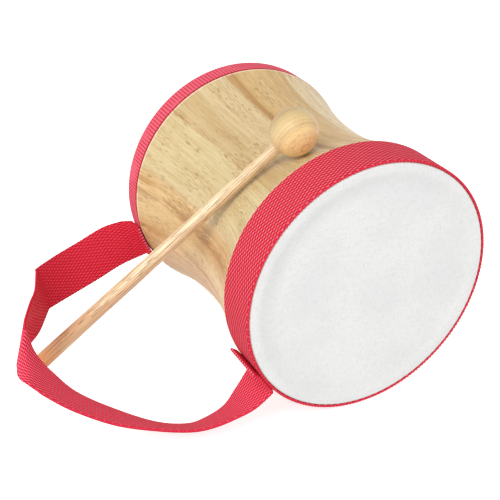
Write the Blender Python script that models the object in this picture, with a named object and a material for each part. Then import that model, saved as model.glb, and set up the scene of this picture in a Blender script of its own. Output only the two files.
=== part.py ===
"""A small two-headed wooden hand drum with its beater, lying on its side on a table.

The drum's axis lies along Y, with the playing head towards -Y, and the table is the plane z = 0.
The shell is twelve glued staves, turned to a waist. Each end has a stretched skin, held by a band
of red webbing round the rim. A stiff webbing strap is fastened to both bands on the drum's left side.
Its rear end is lapped across the rear band, its front end is turned up along the front band, and
its loop stands out between them and touches the table near the front. The beater is a tapered stick
with a turned ball, with its butt on the table inside the loop and its upper half on the shell.
"""

import math

import bmesh
import bpy
from mathutils import Matrix, Vector

# Driving sizes, in metres.
DRUM_RADIUS = 0.0698          # over the bands
DRUM_LENGTH = 0.1528          # over the outer edges of the bands
FRONT_BAND_WIDTH = 0.025
REAR_BAND_WIDTH = 0.0125
WEBBING_THICKNESS = 0.0014
SKIN_THICKNESS = 0.0009
SKIN_RECESS = 0.0006          # the skin's face lies this far inside the band's edge
SKIRT_MARGIN = 0.003          # the skin's turned-down skirt is this much narrower than the band
RIM_ROUND = 0.0025            # the eased bearing edge under the skin
WAIST_RADIUS = 0.0605
WAIST_POWER = 2.1             # how the shell swells from the waist to the shoulders
STAVE_THICKNESS = 0.009
STAVE_COUNT = 12
STAVE_TURN = 9.2              # degrees from the drum's top, down its left side, to the first joint
CLEARANCE = 0.0003            # between touching pieces
STRAP_WIDTH = 0.025
LAP_ANGLE = 113.5             # degrees from the top, down the left side, to the rear lap's middle
FOLD_ANGLE = 128.0            # the same, to the front fold
FRONT_TAIL = 0.0176           # lies up along the front band from the fold
FRONT_SPRING = 0.0022         # how far the fold's inner edge springs off the band
STICK_BUTT_RADIUS = 0.0044
STICK_TIP_RADIUS = 0.0029
STICK_REACH = 0.1990          # from the butt end to the centre of the ball
TENON_LENGTH = 0.008          # how far the stick goes into the ball
BALL_RADIUS = 0.0120
BUTT_OUT = 0.1501             # the butt's place on the table: so far left of the drum's axis
BUTT_BACK = 0.0263            # and so far behind its middle
BEATER_HEADING = -26.0        # degrees from +X, seen from above

# Facets.
RING_FACETS = 48              # round the drum
STAVE_FACETS = 4              # round one stave
STAVE_STEPS = 12              # along a stave's curve
STRAP_STEP = 0.0030           # about this far apart along the strap
LAP_FACETS = 4
STICK_FACETS = 16
BALL_RINGS = 10

# How the strap's loop lies, by its key places. Each place gives how far left and how far back of
# its own end of the loop the middle of the webbing is, the height of its lower edge over the table,
# how many degrees the webbing leans from upright, and towards which side its upper edge leans, in
# degrees from +X seen from above. The curve between the places is worked out below.
REAR_RUN = [                  # these start at the rear lap
    (0.0000, 0.0010, 0.0300, 24, 180),   # straight back off the lap
    (0.0030, 0.0030, 0.0280, 22, 155),   # round to the left
    (0.0170, 0.0040, 0.0235, 30, 120),   # out along the rear flank
    (0.0470, -0.0020, 0.0180, 32, 118),
    (0.0650, -0.0160, 0.0180, 18, 115),  # the rounded corner
    (0.0770, -0.0430, 0.0235, 13, 65),   # forward along the left side
    (0.0945, -0.0805, 0.0345, 20, 30),
]
FRONT_RUN = [                 # and these end at the front fold
    (0.1078, 0.0470, 0.0385, 30, 42),
    (0.1058, 0.0400, 0.0420, 70, 60),    # over the fold at the far left
    (0.1040, 0.0355, 0.0410, 92, 65),
    (0.0890, 0.0255, 0.0220, 106, 72),   # down to the table
    (0.0540, 0.0080, 0.0030, 120, 75),
    (0.0290, 0.0000, 0.0022, 118, 76),   # its inner edge lies on it
    (0.0110, -0.0012, 0.0135, 102, 84),  # up to the front band
]

# Sizes that follow from the driving ones.
HALF_LENGTH = DRUM_LENGTH / 2
AXIS_HEIGHT = DRUM_RADIUS * math.cos(math.pi / RING_FACETS)   # one facet of each band lies flat
BAND_INNER = DRUM_RADIUS - WEBBING_THICKNESS
SKIN_OUTER = BAND_INNER - CLEARANCE
SHOULDER_RADIUS = DRUM_RADIUS - CLEARANCE                     # the wood stands as high as the bands
SEAT_RADIUS = SKIN_OUTER - SKIN_THICKNESS - CLEARANCE         # the rim that the skin is drawn over
SKIN_FACE = HALF_LENGTH - SKIN_RECESS
RIM_END = SKIN_FACE - SKIN_THICKNESS - CLEARANCE
FRONT_SHOULDER = HALF_LENGTH - FRONT_BAND_WIDTH - CLEARANCE
REAR_SHOULDER = HALF_LENGTH - REAR_BAND_WIDTH - CLEARANCE
FACET_ALLOWANCE = DRUM_RADIUS * (1 - math.cos(math.pi / RING_FACETS))   # flats lie under corners
LAP_RADIUS = DRUM_RADIUS + CLEARANCE + FACET_ALLOWANCE        # the strap's ends lie at this radius


def clear_scene():
    for item in list(bpy.data.objects):
        bpy.data.objects.remove(item, do_unlink=True)


def material(name, colour, roughness, metallic=0.0):
    made = bpy.data.materials.new(name)
    made.use_nodes = True
    shader = made.node_tree.nodes["Principled BSDF"]
    shader.inputs["Base Color"].default_value = (*colour, 1.0)
    shader.inputs["Roughness"].default_value = roughness
    shader.inputs["Metallic"].default_value = metallic
    return made


def empty(name, place, parent=None):
    made = bpy.data.objects.new(name, None)
    bpy.context.collection.objects.link(made)
    made.parent = parent
    made.location = place
    return made


def add_object(name, mesh, parent, look):
    made = bpy.data.objects.new(name, mesh)
    bpy.context.collection.objects.link(made)
    made.parent = parent
    if not mesh.materials:
        mesh.materials.append(look)
    return made


def finish_mesh(bm, name, crease_degrees=30):
    bmesh.ops.remove_doubles(bm, verts=bm.verts, dist=1e-6)
    bmesh.ops.recalc_face_normals(bm, faces=bm.faces)
    mesh = bpy.data.meshes.new(name)
    bm.to_mesh(mesh)
    bm.free()
    mesh.shade_smooth()
    mesh.set_sharp_from_angle(angle=math.radians(crease_degrees))
    return mesh


def turned(name, profile, facets, closed=False):
    """A solid of revolution round Y from a profile of (radius, y) points.

    An open profile starts and ends on the axis. A closed one is a ring that misses the axis.
    """
    bm = bmesh.new()
    points = [bm.verts.new((0.0, y, radius)) for radius, y in profile]
    edges = [bm.edges.new(pair) for pair in zip(points, points[1:])]
    if closed:
        edges.append(bm.edges.new((points[-1], points[0])))
    bmesh.ops.spin(bm, geom=points + edges, cent=(0, 0, 0), axis=(0, 1, 0),
                   angle=math.tau, steps=facets, use_merge=True)
    return finish_mesh(bm, name)


def shell_radius(y):
    """The shell's outer radius between its shoulders: least at the waist, y = 0."""
    shoulder = REAR_SHOULDER if y > 0 else FRONT_SHOULDER
    swell = abs(y / shoulder) ** WAIST_POWER
    return WAIST_RADIUS + (SHOULDER_RADIUS - WAIST_RADIUS) * swell


def stave_mesh():
    """One stave: the shell's section, swept through its share of the circle less a glue gap."""
    sides = []
    for step in range(STAVE_STEPS + 1):
        y = REAR_SHOULDER - (REAR_SHOULDER + FRONT_SHOULDER) * step / STAVE_STEPS
        sides.append((shell_radius(y), y))
    section = [(SEAT_RADIUS - RIM_ROUND, RIM_END), (SEAT_RADIUS, RIM_END - RIM_ROUND),
               (SEAT_RADIUS, REAR_SHOULDER), *sides, (SEAT_RADIUS, -FRONT_SHOULDER),
               (SEAT_RADIUS, -RIM_END + RIM_ROUND), (SEAT_RADIUS - RIM_ROUND, -RIM_END)]
    inside = [(SEAT_RADIUS - STAVE_THICKNESS, -RIM_END)]
    inside += [(radius - STAVE_THICKNESS, y) for radius, y in reversed(sides[::3])]
    inside += [(SEAT_RADIUS - STAVE_THICKNESS, RIM_END)]
    bm = bmesh.new()
    points = [bm.verts.new((0.0, y, radius)) for radius, y in section + inside]
    face = bm.faces.new(points)
    sweep = math.tau / STAVE_COUNT - CLEARANCE / WAIST_RADIUS
    bmesh.ops.spin(bm, geom=[face], cent=(0, 0, 0), axis=(0, 1, 0), angle=-sweep,
                   steps=STAVE_FACETS)
    return finish_mesh(bm, "stave")


def skin_profile(end, band_width):
    """A drum skin: a flat face with an eased edge and a skirt down the rim, at the +Y or -Y end."""
    skirt = SKIN_FACE - (band_width - SKIRT_MARGIN)
    inner = SKIN_OUTER - SKIN_THICKNESS
    back = SKIN_FACE - SKIN_THICKNESS
    profile = [(0.0, SKIN_FACE), (SKIN_OUTER - RIM_ROUND, SKIN_FACE),
               (SKIN_OUTER, SKIN_FACE - RIM_ROUND), (SKIN_OUTER, skirt), (inner, skirt),
               (inner, back - RIM_ROUND), (inner - RIM_ROUND, back), (0.0, back)]
    return [(radius, end * y) for radius, y in profile]


def band_profile(end, width):
    outer, inner = HALF_LENGTH, HALF_LENGTH - width
    return [(BAND_INNER, end * outer), (DRUM_RADIUS, end * outer),
            (DRUM_RADIUS, end * inner), (BAND_INNER, end * inner)]


def round_drum(degrees, radius, y):
    """A point so many degrees from the drum's top, down its left side, at a radius from its axis."""
    turn = math.radians(degrees)
    return Vector((-radius * math.sin(turn), y, AXIS_HEIGHT + radius * math.cos(turn)))


def wrapped(name, section, start, sweep):
    """A flat end of webbing bent round the drum: its (radius, y) section, swept down the left."""
    bm = bmesh.new()
    points = [bm.verts.new((0.0, y, radius)) for radius, y in section]
    face = bm.faces.new(points)
    bmesh.ops.rotate(bm, verts=points, cent=(0, 0, 0),
                     matrix=Matrix.Rotation(-math.radians(start), 3, "Y"))
    bmesh.ops.spin(bm, geom=[face], cent=(0, 0, 0), axis=(0, 1, 0), angle=-sweep,
                   steps=LAP_FACETS)
    return finish_mesh(bm, name)


def rear_lap_mesh():
    """The strap's rear end: it lies across the rear band, and its width runs round the drum."""
    inner, outer = LAP_RADIUS, LAP_RADIUS + WEBBING_THICKNESS
    back = HALF_LENGTH - REAR_BAND_WIDTH
    sweep = STRAP_WIDTH / LAP_RADIUS
    section = [(inner, back), (outer, back), (outer, HALF_LENGTH), (inner, HALF_LENGTH)]
    return wrapped("strap_end_rear", section, LAP_ANGLE - math.degrees(sweep) / 2, sweep)


def front_tail_mesh():
    """The strap's front end: it runs up along the front band and springs off at its inner edge."""
    near, far = -HALF_LENGTH, STRAP_WIDTH - HALF_LENGTH
    low, high = LAP_RADIUS, LAP_RADIUS + FRONT_SPRING
    section = [(low, near), (low + WEBBING_THICKNESS, near), (high + WEBBING_THICKNESS, far),
               (high, far)]
    sweep = FRONT_TAIL / LAP_RADIUS
    return wrapped("strap_end_front", section, FOLD_ANGLE - math.degrees(sweep), sweep)


def loop_ends():
    """Where the loop meets the rear lap and the front fold: its middle and cross direction."""
    lap_middle = LAP_RADIUS + WEBBING_THICKNESS / 2
    edges = [round_drum(LAP_ANGLE + side, lap_middle, HALF_LENGTH + CLEARANCE)
             for side in (-1.0, 1.0)]
    rear = (round_drum(LAP_ANGLE, lap_middle, HALF_LENGTH + CLEARANCE), edges[0] - edges[1])
    fold = FOLD_ANGLE + math.degrees((WEBBING_THICKNESS / 2 + CLEARANCE) / LAP_RADIUS)
    near = round_drum(fold, LAP_RADIUS, -HALF_LENGTH)
    far = round_drum(fold, LAP_RADIUS + FRONT_SPRING, STRAP_WIDTH - HALF_LENGTH)
    return rear, ((near + far) / 2, far - near)


def run_knots(run, end):
    """The middle of the webbing and its cross direction at each place of one run of the loop."""
    knots = []
    for left, back, low, lean, heading in run:
        lean, heading = math.radians(lean), math.radians(heading)
        across = Vector((math.sin(lean) * math.cos(heading), math.sin(lean) * math.sin(heading),
                         math.cos(lean)))
        height = low + abs(across.z) * STRAP_WIDTH / 2
        knots.append((Vector((end.x - left, end.y + back, height)), across))
    return knots


def slopes(values, lengths):
    """How fast a value changes at each knot: of its two stretches the shorter counts more."""
    steps = [(b - a) / h for a, b, h in zip(values, values[1:], lengths)]
    inner = [(p * k + q * h) / (h + k)
             for p, q, h, k in zip(steps, steps[1:], lengths, lengths[1:])]
    return [steps[0], *inner, steps[-1]]


def between(a, b, leaving, reaching, t):
    """The share t of the way from a to b, on the cubic with these slopes at its two ends."""
    return (a * (1 + 2 * t) * (1 - t) ** 2 + leaving * t * (1 - t) ** 2
            + b * t * t * (3 - 2 * t) + reaching * t * t * (t - 1))


def loop_stations():
    """The strap's mid line and cross direction, from the rear lap round to the front fold."""
    rear, front = [(middle, across.normalized()) for middle, across in loop_ends()]
    knots = [rear, *run_knots(REAR_RUN, rear[0]), *run_knots(FRONT_RUN, front[0]), front]
    middles, crosses = zip(*knots)
    lengths = [(b - a).length for a, b in zip(middles, middles[1:])]
    ways, turns = slopes(middles, lengths), slopes(crosses, lengths)
    stations = []
    for i, length in enumerate(lengths):
        steps = max(3, round(length / STRAP_STEP))
        for k in range(steps):
            middle, cross = [between(line[i], line[i + 1], rate[i] * length, rate[i + 1] * length,
                                     k / steps)
                             for line, rate in ((middles, ways), (crosses, turns))]
            stations.append((middle, cross.normalized()))
    return stations + [front]


def webbing_mesh(name, stations, origin):
    """Webbing as a bent flat bar: four corners at each station, joined by quads."""
    rows = []
    bm = bmesh.new()
    for i, (centre, across) in enumerate(stations):
        before, after = stations[max(i - 1, 0)][0], stations[min(i + 1, len(stations) - 1)][0]
        along = (after - before).normalized()
        normal = along.cross(across).normalized()
        half = across * STRAP_WIDTH / 2
        rise = normal * WEBBING_THICKNESS / 2
        rows.append([bm.verts.new(centre - origin + a + b)
                     for a, b in ((half, rise), (-half, rise), (-half, -rise), (half, -rise))])
    for first, second in zip(rows, rows[1:]):
        for k in range(4):
            n = (k + 1) % 4
            bm.faces.new((first[k], first[n], second[n], second[k]))
    bm.faces.new(rows[0])
    bm.faces.new(list(reversed(rows[-1])))
    bmesh.ops.triangulate(bm, faces=bm.faces)
    return finish_mesh(bm, name)


def stick_profile(length):
    """The beater's stick from its butt at y = 0 to the end of its tenon."""
    ease = STICK_BUTT_RADIUS * 0.2
    tip = length - CLEARANCE
    return [(0.0, 0.0), (STICK_BUTT_RADIUS - ease, 0.0), (STICK_BUTT_RADIUS, ease),
            (STICK_TIP_RADIUS, tip), (0.0, tip)]


def ball_profile():
    """The beater's ball, with a blind bore for the stick on its -Y side."""
    bore = STICK_TIP_RADIUS + CLEARANCE
    first = math.asin(bore / BALL_RADIUS)
    arc = [first + (math.pi - first) * k / BALL_RINGS for k in range(BALL_RINGS + 1)]
    outside = [(BALL_RADIUS * math.sin(a), -BALL_RADIUS * math.cos(a)) for a in arc]
    outside[-1] = (0.0, BALL_RADIUS)
    floor = TENON_LENGTH - BALL_RADIUS * math.cos(first)
    return [(0.0, floor), (bore, floor)] + outside


def beater_direction(slope):
    """The beater's direction when it rises at a slope, in radians."""
    heading = math.radians(BEATER_HEADING)
    return Vector((math.cos(heading) * math.cos(slope), math.sin(heading) * math.cos(slope),
                   math.sin(slope)))


def butt_place(slope):
    """The middle of the butt end, with the stick's lower edge on the table."""
    return Vector((-BUTT_OUT, BUTT_BACK, STICK_BUTT_RADIUS * math.cos(slope) + CLEARANCE))


def ball_gap(centre):
    """The smallest space between the ball and the shell's curve, near and far of its centre."""
    out = math.hypot(centre.x, centre.z - AXIS_HEIGHT)
    near = [centre.y + BALL_RADIUS * step / 20 for step in range(-20, 21)]
    gaps = [math.hypot(out - shell_radius(y), y - centre.y) for y in near
            if -FRONT_SHOULDER < y < REAR_SHOULDER]
    return min(gaps, default=BALL_RADIUS + CLEARANCE) - BALL_RADIUS


def beater_gap(slope):
    """The smallest space between the beater and the drum when it rises at a slope."""
    butt, direction = butt_place(slope), beater_direction(slope)
    gaps = [ball_gap(butt + direction * STICK_REACH)]
    for step in range(100):
        share = step / 100
        point = butt + direction * STICK_REACH * share
        thick = STICK_BUTT_RADIUS + (STICK_TIP_RADIUS - STICK_BUTT_RADIUS) * share
        if -FRONT_SHOULDER < point.y < REAR_SHOULDER:
            drum = shell_radius(point.y)
        elif abs(point.y) < HALF_LENGTH:
            drum = DRUM_RADIUS
        else:
            continue
        gaps.append(math.hypot(point.x, point.z - AXIS_HEIGHT) - drum - thick)
    return min(gaps)


def leaning_slope():
    """The slope, in radians, at which the beater comes to rest on the drum."""
    low, high = 0.3, 1.4
    for _ in range(40):
        middle = (low + high) / 2
        if beater_gap(middle) < CLEARANCE:
            low = middle
        else:
            high = middle
    return high


def place_along(item, start, direction):
    item.location = start
    item.rotation_mode = "QUATERNION"
    item.rotation_quaternion = direction.to_track_quat("Y", "Z")


def stand_on_origin(root):
    """Moves everything so that the middle of the whole part's footprint is the origin."""
    bpy.context.view_layer.update()
    corners = [item.matrix_world @ vertex.co for item in bpy.data.objects if item.type == "MESH"
               for vertex in item.data.vertices]
    low = [min(corner[axis] for corner in corners) for axis in range(3)]
    high = [max(corner[axis] for corner in corners) for axis in range(3)]
    root.location = (-(low[0] + high[0]) / 2, -(low[1] + high[1]) / 2, -low[2])


def build():
    clear_scene()
    wood = material("rubberwood", (0.72, 0.53, 0.31), 0.5)
    beech = material("beater_wood", (0.74, 0.55, 0.36), 0.45)
    skin = material("drum_skin", (0.80, 0.80, 0.78), 0.8)
    webbing = material("red_webbing", (0.62, 0.03, 0.06), 0.7)

    part = empty("part", (0, 0, 0))
    drum = empty("drum", (0, 0, AXIS_HEIGHT), part)
    stave = stave_mesh()
    for number in range(STAVE_COUNT):
        made = add_object(f"stave_{number + 1:02d}", stave, drum, wood)
        made.rotation_euler = (0, -math.radians(STAVE_TURN) - math.tau * number / STAVE_COUNT, 0)

    half_facet = math.pi / RING_FACETS
    rings = (("front_skin", skin_profile(-1, FRONT_BAND_WIDTH), False, skin),
             ("rear_skin", skin_profile(1, REAR_BAND_WIDTH), False, skin),
             ("front_band", band_profile(-1, FRONT_BAND_WIDTH), True, webbing),
             ("rear_band", band_profile(1, REAR_BAND_WIDTH), True, webbing))
    for name, profile, closed, look in rings:
        made = add_object(name, turned(name, profile, RING_FACETS, closed), drum, look)
        made.rotation_euler = (0, half_facet, 0)

    add_object("strap_end_rear", rear_lap_mesh(), drum, webbing)
    add_object("strap_end_front", front_tail_mesh(), drum, webbing)
    hinge = loop_ends()[0][0]
    swing = empty("strap_swing", hinge, part)
    add_object("strap_loop", webbing_mesh("strap_loop", loop_stations(), hinge), swing, webbing)

    slope = leaning_slope()
    butt, direction = butt_place(slope), beater_direction(slope)
    mouth = BALL_RADIUS * math.cos(math.asin((STICK_TIP_RADIUS + CLEARANCE) / BALL_RADIUS))
    beater = empty("beater", butt, part)
    stick = add_object("beater_stick", turned("beater_stick",
                                              stick_profile(STICK_REACH - mouth + TENON_LENGTH),
                                              STICK_FACETS), beater, beech)
    place_along(stick, Vector(), direction)
    ball = add_object("beater_ball", turned("beater_ball", ball_profile(), STICK_FACETS),
                      beater, beech)
    place_along(ball, direction * STICK_REACH, direction)
    stand_on_origin(part)


build()
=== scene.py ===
# %% [markdown]
# # A waisted hand drum
# This lesson dresses a small wooden hand drum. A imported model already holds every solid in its
# right place and size, so nothing here is moved or resized. We only rebuild the surfaces that
# need more detail than a solid has, and give each one a finish. Lengths are in metres, and the
# drum lies on its side with its axis along Y and its playing head towards -Y.

# %% Load the model
import math

import bmesh
import bpy
import numpy as np
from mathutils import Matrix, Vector


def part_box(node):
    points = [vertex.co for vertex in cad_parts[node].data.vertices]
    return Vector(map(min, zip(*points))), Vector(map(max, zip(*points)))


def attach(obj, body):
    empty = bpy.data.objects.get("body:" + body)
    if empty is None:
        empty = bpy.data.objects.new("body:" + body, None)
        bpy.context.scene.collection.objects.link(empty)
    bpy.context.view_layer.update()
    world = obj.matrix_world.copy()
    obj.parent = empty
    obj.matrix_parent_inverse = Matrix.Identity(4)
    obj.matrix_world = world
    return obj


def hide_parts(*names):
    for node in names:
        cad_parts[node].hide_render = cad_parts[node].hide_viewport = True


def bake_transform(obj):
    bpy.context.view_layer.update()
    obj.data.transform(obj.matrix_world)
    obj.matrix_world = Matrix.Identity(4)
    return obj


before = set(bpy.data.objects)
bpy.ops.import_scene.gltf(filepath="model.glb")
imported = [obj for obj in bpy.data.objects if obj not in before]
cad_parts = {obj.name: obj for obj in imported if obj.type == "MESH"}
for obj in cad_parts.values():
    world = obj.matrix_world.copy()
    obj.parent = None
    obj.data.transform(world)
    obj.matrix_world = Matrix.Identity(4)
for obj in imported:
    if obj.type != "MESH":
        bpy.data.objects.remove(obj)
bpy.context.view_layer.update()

# %% [markdown]
# ## Where the drum is
# The two webbing bands are the drum's widest rings, so their boxes give its axis, its radius and
# its two ends. Everything else is measured from there, which keeps the new surfaces on the
# solids that they stand for.

# %% The drum's axis and ends
front_low, front_high = (np.array(corner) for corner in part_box("front_band"))
rear_low, rear_high = (np.array(corner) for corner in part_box("rear_band"))
AXIS_X = (front_low[0] + front_high[0]) / 2
AXIS_Z = (front_low[2] + front_high[2]) / 2
RADIUS = (front_high[0] - front_low[0]) / 2
MIDDLE_Y = (front_low[1] + rear_high[1]) / 2
HALF = (rear_high[1] - front_low[1]) / 2
FRONT_BAND = front_high[1] - front_low[1]
REAR_BAND = rear_high[1] - rear_low[1]
WEBBING = 0.0014
SKIN = 0.0009
GAP = 0.0003
print(f"radius {RADIUS:.4f}, half length {HALF:.4f}, bands {FRONT_BAND:.4f} and {REAR_BAND:.4f}")


def on_drum(turn, radius, y):
    """Points round the drum: x = axis - r sin(turn), z = axis + r cos(turn), turn from the top."""
    turn, radius, y = np.broadcast_arrays(turn, radius, y)
    return np.stack([AXIS_X - radius * np.sin(turn), MIDDLE_Y + y,
                     AXIS_Z + radius * np.cos(turn)], axis=-1)


# %% [markdown]
# ## The camera
# The drum is seen from its front left and from above. A camera pitched down by 30 degrees shows
# the playing head, the waist and the strap together. It is made first, so that every piece can be
# looked at from where it counts.

# %% Camera
camera_data = bpy.data.cameras.new("camera")
camera_data.lens = 71.05
camera_data.sensor_width = 36
camera = bpy.data.objects.new("camera", camera_data)
bpy.context.collection.objects.link(camera)
camera.location = (AXIS_X - 0.2440, MIDDLE_Y - 0.4172, 0.3322)
camera.rotation_euler = (math.radians(60), 0, math.radians(-27.3))
bpy.context.scene.camera = camera
print("camera at", [round(v, 3) for v in camera.location])

# %% [markdown]
# ## One builder for every skin
# Bands, staves, heads and the strap are all thin things: one surface, another surface close
# behind it, and a narrow wall round the rim. So one function does them all. It takes two grids of
# points with the same shape, joins each grid with quads, and closes the rim. A ring is a grid
# whose last row is joined to its first.


# %% From grids to a mesh
def quads(rows, cols, wrap):
    """Corner indices of the cells of a grid, and the same with the last row not folded back."""
    steps = rows if wrap else rows - 1
    i, j = np.meshgrid(np.arange(steps), np.arange(cols - 1), indexing="ij")
    ahead = np.stack([i, i + 1, i + 1, i], axis=-1)
    aside = np.stack([j, j, j + 1, j + 1], axis=-1)
    return ((ahead % rows) * cols + aside).reshape(-1, 4), (ahead * cols + aside).reshape(-1, 4)


def rim(rows, cols, wrap):
    """Index pairs along the rim of the grid, as (first, second) for points and for their tags."""
    steps = rows if wrap else rows - 1
    i = np.arange(steps)
    pairs = [(((i % rows) * cols + j, ((i + 1) % rows) * cols + j), (i * cols + j, (i + 1) * cols + j))
             for j in (0, cols - 1)]
    if not wrap:
        j = np.arange(cols - 1)
        pairs += [((k * cols + j, k * cols + j + 1),) * 2 for k in (0, rows - 1)]
    return pairs


def slab(name, top, bottom, chart, wrap=False, sharp=40, merge=1e-7):
    """A closed skin round two matching grids of points.

    chart holds each point's place on the flat piece, in millimetres, as its UV map.
    """
    rows, cols = top.shape[:2]
    cells, tags = quads(rows, cols, wrap)
    under = rows * cols
    faces = [cells, cells[:, ::-1] + under]
    marks = [tags, tags[:, ::-1]]
    for (a, b), (c, d) in rim(rows, cols, wrap):
        faces.append(np.stack([b, a, a + under, b + under], axis=-1))
        marks.append(np.stack([d, c, c, d], axis=-1))
    faces, marks = np.concatenate(faces), np.concatenate(marks)
    points = np.concatenate([top.reshape(-1, 3), bottom.reshape(-1, 3)])
    mesh = bpy.data.meshes.new(name)
    mesh.from_pydata(points.tolist(), [], faces.tolist())
    layer = mesh.uv_layers.new(name="chart")
    layer.data.foreach_set("uv", chart.reshape(-1, 2)[marks].astype(np.float32).ravel())
    mesh.polygons.foreach_set("material_index", (np.arange(len(faces)) >= len(cells)).astype(int)
                              * (np.arange(len(faces)) < 2 * len(cells)))
    obj = bpy.data.objects.new(name, mesh)
    bpy.context.collection.objects.link(obj)
    close(mesh, sharp, merge)
    return obj


def close(mesh, sharp, merge):
    """Merges doubles, turns the faces outwards and shades the mesh smooth up to an angle."""
    bm = bmesh.new()
    bm.from_mesh(mesh)
    bmesh.ops.remove_doubles(bm, verts=bm.verts, dist=merge)
    bmesh.ops.recalc_face_normals(bm, faces=bm.faces)
    bm.to_mesh(mesh)
    bm.free()
    mesh.shade_smooth()
    mesh.set_sharp_from_angle(angle=math.radians(sharp))


def dress(obj, body, slot, *materials):
    """Gives a piece its materials and, where it has one, its body. The slot is not used."""
    for material in materials:
        obj.data.materials.append(material)
    if body:
        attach(obj, body)
    return obj


# %% [markdown]
# ## Colours and nodes
# A colour is easiest to choose as it looks on a screen, from 0 to 255, but a shader wants it
# linear. Small helpers keep the node code short: one adds a node and fills its inputs, and one
# does arithmetic.


# %% Node helpers
def screen(red, green, blue):
    """A screen colour made linear: ((c + 0.055) / 1.055) ^ 2.4."""
    c = np.array([red, green, blue]) / 255
    return tuple(float(v) for v in np.where(c <= 0.04045, c / 12.92, ((c + 0.055) / 1.055) ** 2.4))


def add(tree, kind, settings=(), **inputs):
    """A node with its settings and inputs; an input is a value or another node's socket."""
    made = tree.nodes.new(kind)
    for key, value in dict(settings).items():
        setattr(made, key, value)
    for key, value in inputs.items():
        socket = made.inputs[int(key[1:])] if key[1:].isdigit() else made.inputs[key.replace("_", " ")]
        if isinstance(value, bpy.types.NodeSocket):
            tree.links.new(value, socket)
        else:
            socket.default_value = value
    return made


def calc(tree, operation, *values):
    """Arithmetic on sockets or numbers."""
    return add(tree, "ShaderNodeMath", {"operation": operation},
               **{f"i{k}": value for k, value in enumerate(values)}).outputs[0]


def ease(tree, value, low, high, start=0.0, end=1.0):
    """A smooth ramp: start below low, end above high."""
    return add(tree, "ShaderNodeMapRange", {"interpolation_type": "SMOOTHSTEP"}, Value=value,
               From_Min=low, From_Max=high, To_Min=start, To_Max=end).outputs["Result"]


def mix(tree, factor, first, second, mode="MIX"):
    """One colour laid over another."""
    made = add(tree, "ShaderNodeMix", {"data_type": "RGBA", "blend_type": mode}, i0=factor)
    for socket, value in ((made.inputs[6], first), (made.inputs[7], second)):
        if isinstance(value, bpy.types.NodeSocket):
            tree.links.new(value, socket)
        else:
            socket.default_value = (*value, 1.0)
    return made.outputs[2]


def new_group(name, takes, gives):
    """An empty shader group with named sockets; returns the tree and its two ends."""
    tree = bpy.data.node_groups.new(name, "ShaderNodeTree")
    for socket, kind in takes.items():
        tree.interface.new_socket(name=socket, in_out="INPUT", socket_type=kind)
    for socket, kind in gives.items():
        tree.interface.new_socket(name=socket, in_out="OUTPUT", socket_type=kind)
    return tree, tree.nodes.new("NodeGroupInput").outputs, tree.nodes.new("NodeGroupOutput").inputs


def new_material(name, colour=(0.8, 0.8, 0.8), roughness=0.5):
    """A material with one Principled shader; returns the material, its tree and the shader."""
    material = bpy.data.materials.new(name)
    material.use_nodes = True
    shader = material.node_tree.nodes["Principled BSDF"]
    shader.inputs["Base Color"].default_value = (*colour, 1.0)
    shader.inputs["Roughness"].default_value = roughness
    return material, material.node_tree, shader


def place(tree, group, **inputs):
    """A copy of a group in a material, with its own values."""
    made = add(tree, "ShaderNodeGroup", {"node_tree": group})
    for key, value in inputs.items():
        socket = made.inputs[key.replace("_", " ")]
        if isinstance(value, bpy.types.NodeSocket):
            tree.links.new(value, socket)
        else:
            socket.default_value = value
    return made.outputs


# %% [markdown]
# ## Wood grain as a group
# The shell, the stick and the ball are cut from the same sort of pale plantation wood. It has
# long soft streaks, fine fibres, and open pores that show as short dark dashes. All three run
# along the grain, so each is plain noise read through a stretched map: long steps along the grain,
# short steps across it. The group gives three masks, and each material colours them its own way.


# %% Wood grain group
def stretched_noise(tree, chart, along, across, detail, seed):
    """Noise on (x / along, y / across, seed), so its features are long streaks."""
    scaled = add(tree, "ShaderNodeVectorMath", {"operation": "MULTIPLY"}, i0=chart,
                 i1=(1 / along, 1 / across, 1.0)).outputs[0]
    moved = add(tree, "ShaderNodeVectorMath", {"operation": "ADD"}, i0=scaled,
                i1=(seed, seed, seed)).outputs[0]
    return add(tree, "ShaderNodeTexNoise", Vector=moved, Scale=1.0, Detail=detail,
               Roughness=0.55).outputs[0]


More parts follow.
